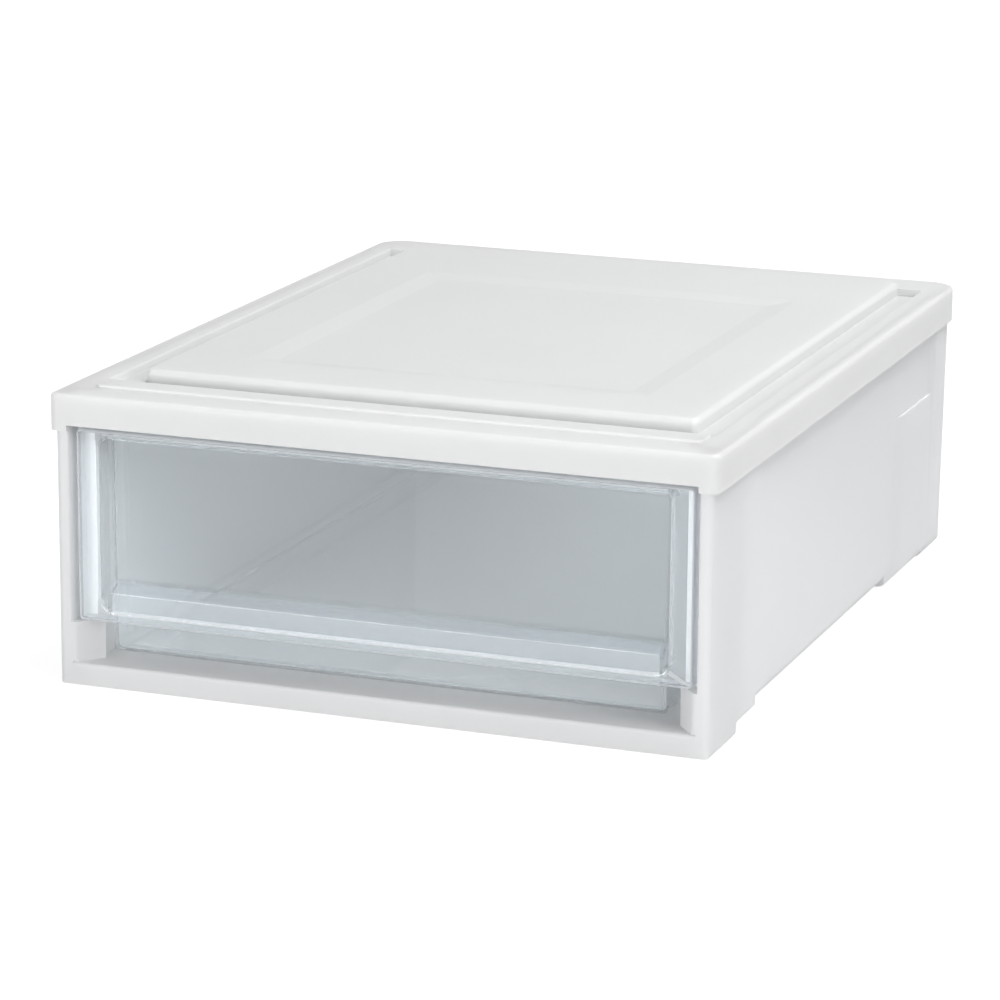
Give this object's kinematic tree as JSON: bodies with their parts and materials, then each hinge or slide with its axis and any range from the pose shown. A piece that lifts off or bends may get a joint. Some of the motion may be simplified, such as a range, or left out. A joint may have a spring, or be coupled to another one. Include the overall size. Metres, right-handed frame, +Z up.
{
  "type": "stackable drawer box",
  "caption": "Low stackable storage box: white case with a clipped cover and a translucent slide-out drawer with a moulded finger grip.",
  "frame": {"origin": "under the middle of the box, on the plane of its feet", "axes": "+Z up, the drawer's front faces -Y, +X to the right seen from the front"},
  "size_m": [0.4, 0.51, 0.176],
  "materials": {
    "case_white": "satin moulded polypropylene",
    "cover_white": "satin moulded polypropylene",
    "drawer_clear": "translucent moulded polypropylene, lightly milky"
  },
  "bodies": {
    "case": {"case_body": "case_white", "top_cover": "cover_white"},
    "drawer": {"drawer": "drawer_clear"}
  },
  "joints": [
    {"name": "drawer_slide", "type": "slide", "parent": "case", "child": "drawer", "axis": [0, -1, 0], "range_m": [0, 0.3762]}
  ]
}
